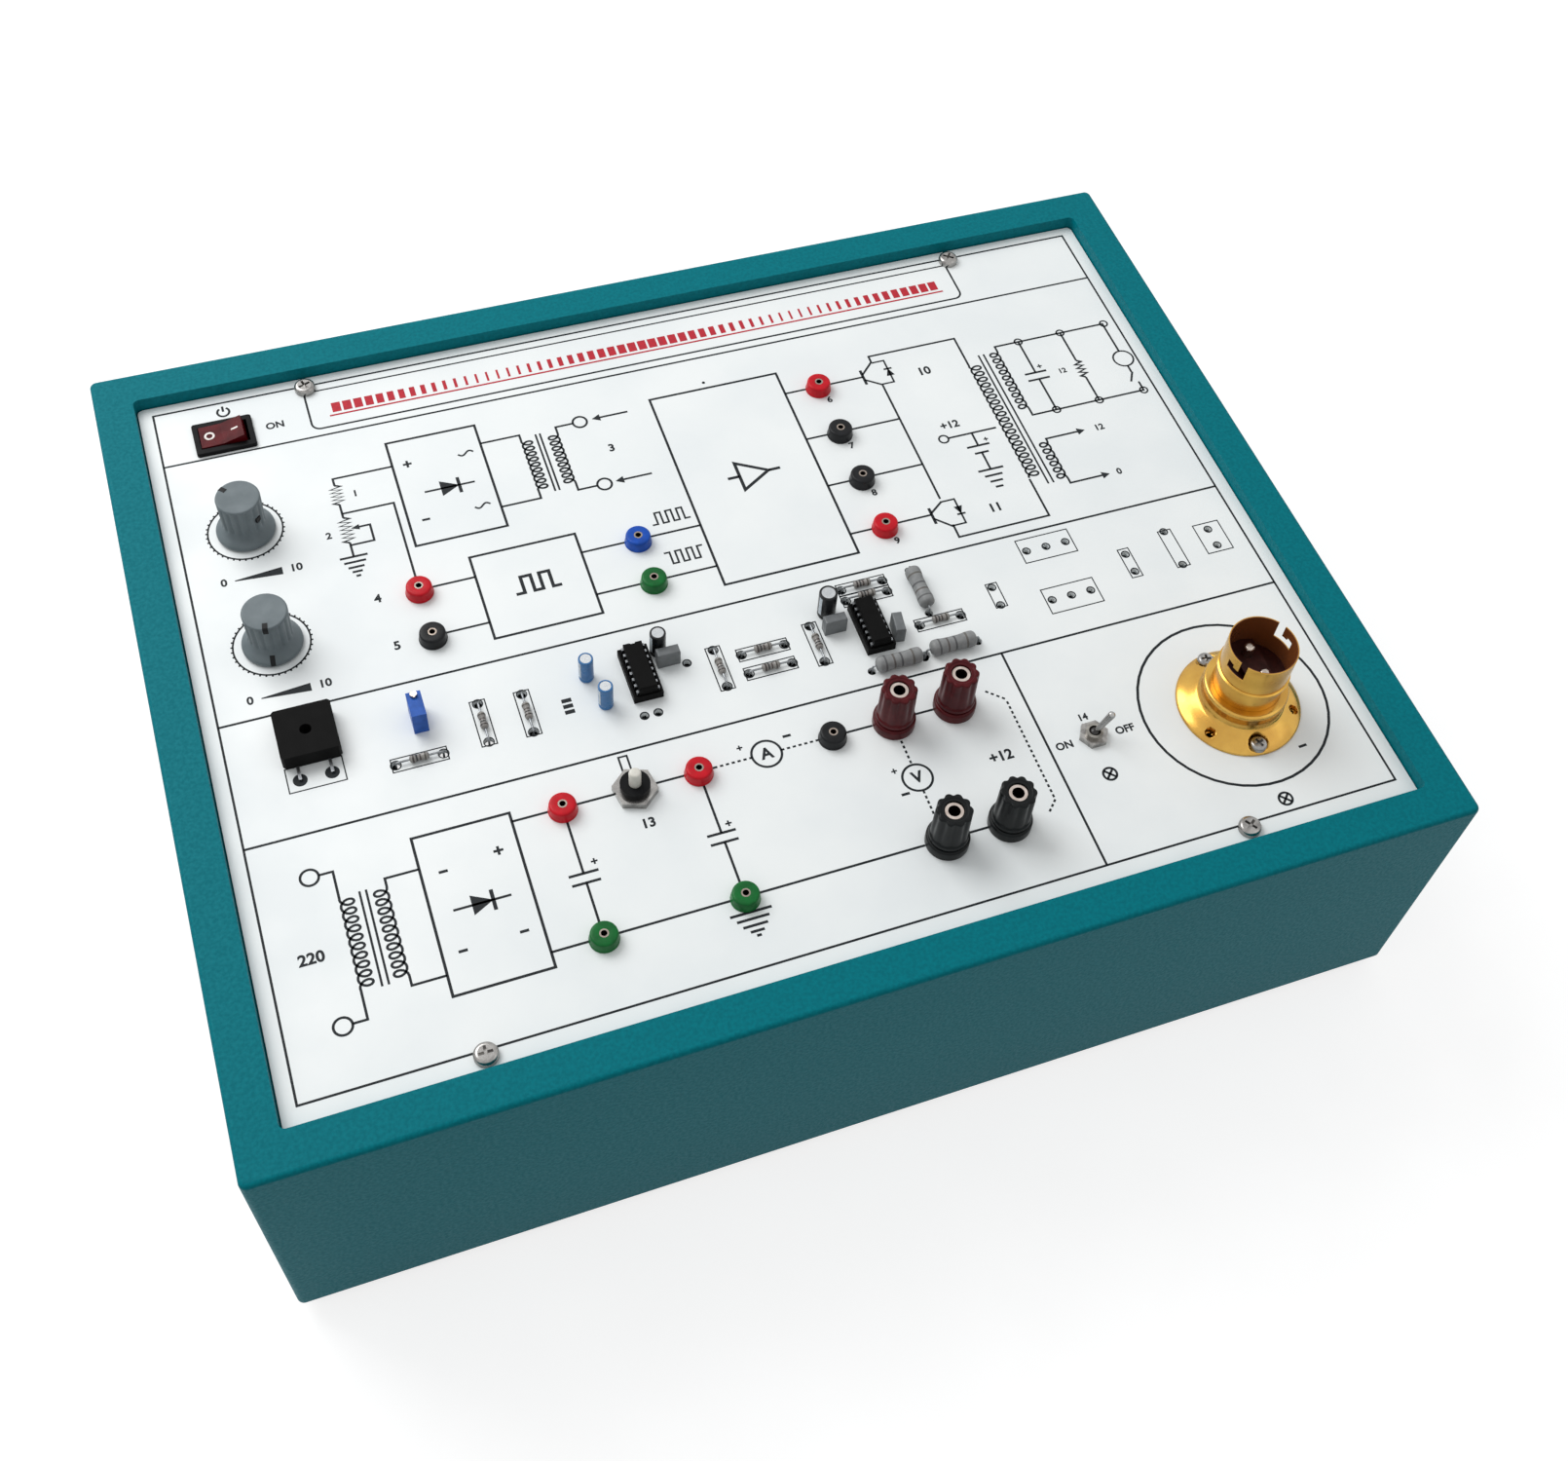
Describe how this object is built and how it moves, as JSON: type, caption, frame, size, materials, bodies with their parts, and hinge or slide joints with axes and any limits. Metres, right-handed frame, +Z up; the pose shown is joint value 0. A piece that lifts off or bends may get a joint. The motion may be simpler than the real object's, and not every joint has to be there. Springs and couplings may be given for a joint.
{
  "type": "inverter trainer",
  "caption": "Bench demonstration panel for a single-phase inverter: steel case, printed circuit diagram, controls, test sockets, binding posts, live components and a lampholder load.",
  "frame": {"origin": "middle of the overall plan, under the feet", "axes": "+X to the right of the panel, +Y to its back, +Z up"},
  "size_m": [0.4, 0.3146, 0.142],
  "materials": {
    "cabinet_paint": "fine textured powder coat",
    "base_paint": "powder coat",
    "screw_nickel": "bright nickel plate",
    "foot_rubber": "moulded",
    "panel_print": "white printed face",
    "switch_black": "moulded nylon",
    "rocker_red": "translucent polycarbonate",
    "tab_tin": "tinned brass",
    "pot_case": "zinc plated",
    "shaft_metal": "turned",
    "knob_grey": "moulded",
    "switch_phenolic": "moulded",
    "breaker_black": "moulded",
    "button_ivory": "moulded",
    "post_maroon": "moulded",
    "post_black": "moulded",
    "socket_red": "moulded",
    "socket_black": "moulded",
    "socket_green": "moulded",
    "socket_blue": "moulded",
    "contact_brass": "nickel on brass",
    "bridge_epoxy": "moulded epoxy",
    "trimmer_blue": "moulded",
    "resistor_lacquer": "lacquered, banded",
    "power_resistor_grey": "grey cement coat",
    "chip_black": "moulded epoxy",
    "can_blue": "sleeved can",
    "can_black": "sleeved can",
    "box_grey": "moulded",
    "holder_brass": "spun, lacquered",
    "holder_phenolic": "moulded",
    "core_steel": "varnished laminations",
    "winding_tape": "taped copper winding",
    "board_green": "laminate",
    "sink_aluminium": "black anodised",
    "inlet_black": "moulded nylon"
  },
  "bodies": {
    "cabinet": {"base_plate": "base_paint", "base_screws": "screw_nickel", "black_capacitors": "can_black", "black_post_bases": "post_black", "black_sockets": "socket_black", "blue_capacitors": "can_blue", "blue_sockets": "socket_blue", "board_standoffs": "contact_brass", "box_capacitors": "box_grey", "breaker_body": "breaker_black", "bridge_rectifier": "bridge_epoxy", "bushing_nuts": "screw_nickel", "case_shell": "cabinet_paint", "chip_bodies": "chip_black", "chip_legs": "tab_tin", "circuit_board": "board_green", "component_leads": "tab_tin", "fixing_nuts": "screw_nickel", "front_panel": "panel_print", "green_sockets": "socket_green", "heat_sinks": "sink_aluminium", "lamp_switch_body": "switch_phenolic", "lampholder_base": "holder_brass", "lampholder_insulator": "holder_phenolic", "lampholder_ring": "holder_brass", "lampholder_screws": "screw_nickel", "lampholder_shell": "holder_brass", "mains_inlet": "inlet_black", "panel_screws": "screw_nickel", "post_studs": "contact_brass", "potentiometers": "pot_case", "power_resistors": "power_resistor_grey", "power_switch_housing": "switch_black", "red_post_bases": "post_maroon", "red_sockets": "socket_red", "resistors": "resistor_lacquer", "rubber_feet": "foot_rubber", "socket_contacts": "contact_brass", "terminal_tabs": "tab_tin", "transformer_cores": "core_steel", "transformer_windings": "winding_tape", "trimmer_body": "trimmer_blue"},
    "power_rocker": {"power_rocker": "rocker_red"},
    "voltage_control": {"voltage_pot_shaft": "shaft_metal", "voltage_knob": "knob_grey"},
    "frequency_control": {"frequency_pot_shaft": "shaft_metal", "frequency_knob": "knob_grey"},
    "lamp_switch_lever": {"lamp_switch_lever": "screw_nickel"},
    "breaker_button": {"breaker_button": "button_ivory"},
    "trimmer_screw": {"trimmer_screw": "contact_brass"},
    "red_left_post_insert": {"red_left_post_insert": "contact_brass"},
    "red_left_post_cap": {"red_left_post_cap": "post_maroon"},
    "red_right_post_insert": {"red_right_post_insert": "contact_brass"},
    "red_right_post_cap": {"red_right_post_cap": "post_maroon"},
    "black_left_post_insert": {"black_left_post_insert": "contact_brass"},
    "black_left_post_cap": {"black_left_post_cap": "post_black"},
    "black_right_post_insert": {"black_right_post_insert": "contact_brass"},
    "black_right_post_cap": {"black_right_post_cap": "post_black"},
    "lamp_contact_front": {"lamp_contact_front": "contact_brass"},
    "lamp_contact_back": {"lamp_contact_back": "contact_brass"}
  },
  "joints": [
    {"name": "power_rocker_tilt", "type": "hinge", "parent": "cabinet", "child": "power_rocker", "pos_m": [-0.1585, 0.12, 0.1073], "axis": [0, 1, 0], "range_deg": [0, 20]},
    {"name": "voltage_knob_turn", "type": "hinge", "parent": "cabinet", "child": "voltage_control", "pos_m": [-0.1585, 0.0752, 0.108], "axis": [0, 0, 1], "range_deg": [-171, 129]},
    {"name": "frequency_knob_turn", "type": "hinge", "parent": "cabinet", "child": "frequency_control", "pos_m": [-0.1585, 0.025, 0.108], "axis": [0, 0, 1], "range_deg": [-300, 0]},
    {"name": "lamp_switch_throw", "type": "hinge", "parent": "cabinet", "child": "lamp_switch_lever", "pos_m": [0.0903, -0.0901, 0.11], "axis": [0, 1, 0], "range_deg": [-56, 0]},
    {"name": "breaker_button_press", "type": "slide", "parent": "cabinet", "child": "breaker_button", "axis": [0, 0, 1], "range_m": [-0.0045, 0], "stiffness_N_per_m": 200, "springref_m": 0.002},
    {"name": "trimmer_screw_turn", "type": "hinge", "parent": "cabinet", "child": "trimmer_screw", "pos_m": [-0.11978, -0.0157, 0.118], "axis": [0, 0, 1], "continuous": true},
    {"name": "red_left_post_lift", "type": "slide", "parent": "cabinet", "child": "red_left_post_insert", "axis": [0, 0, 1], "range_m": [0, 0.005]},
    {"name": "red_left_post_turn", "type": "hinge", "parent": "red_left_post_insert", "child": "red_left_post_cap", "pos_m": [0.0282, -0.0652, 0.1126], "axis": [0, 0, 1], "range_deg": [0, 1800]},
    {"name": "red_right_post_lift", "type": "slide", "parent": "cabinet", "child": "red_right_post_insert", "axis": [0, 0, 1], "range_m": [0, 0.005]},
    {"name": "red_right_post_turn", "type": "hinge", "parent": "red_right_post_insert", "child": "red_right_post_cap", "pos_m": [0.05, -0.0652, 0.1126], "axis": [0, 0, 1], "range_deg": [0, 1800]},
    {"name": "black_left_post_lift", "type": "slide", "parent": "cabinet", "child": "black_left_post_insert", "axis": [0, 0, 1], "range_m": [0, 0.005]},
    {"name": "black_left_post_turn", "type": "hinge", "parent": "black_left_post_insert", "child": "black_left_post_cap", "pos_m": [0.0282, -0.1125, 0.1126], "axis": [0, 0, 1], "range_deg": [0, 1800]},
    {"name": "black_right_post_lift", "type": "slide", "parent": "cabinet", "child": "black_right_post_insert", "axis": [0, 0, 1], "range_m": [0, 0.005]},
    {"name": "black_right_post_turn", "type": "hinge", "parent": "black_right_post_insert", "child": "black_right_post_cap", "pos_m": [0.05, -0.1125, 0.1126], "axis": [0, 0, 1], "range_deg": [0, 1800]},
    {"name": "lamp_contact_front_press", "type": "slide", "parent": "cabinet", "child": "lamp_contact_front", "axis": [0, 0, 1], "range_m": [-0.0034, 0], "stiffness_N_per_m": 400, "springref_m": 0.002},
    {"name": "lamp_contact_back_press", "type": "slide", "parent": "cabinet", "child": "lamp_contact_back", "axis": [0, 0, 1], "range_m": [-0.0034, 0], "stiffness_N_per_m": 400, "springref_m": 0.002}
  ],
  "couplings": [
    {"joint": "red_left_post_turn", "follows": "red_left_post_lift", "rad_per_m": 6283.2},
    {"joint": "red_right_post_turn", "follows": "red_right_post_lift", "rad_per_m": 6283.2},
    {"joint": "black_left_post_turn", "follows": "black_left_post_lift", "rad_per_m": 6283.2},
    {"joint": "black_right_post_turn", "follows": "black_right_post_lift", "rad_per_m": 6283.2}
  ]
}
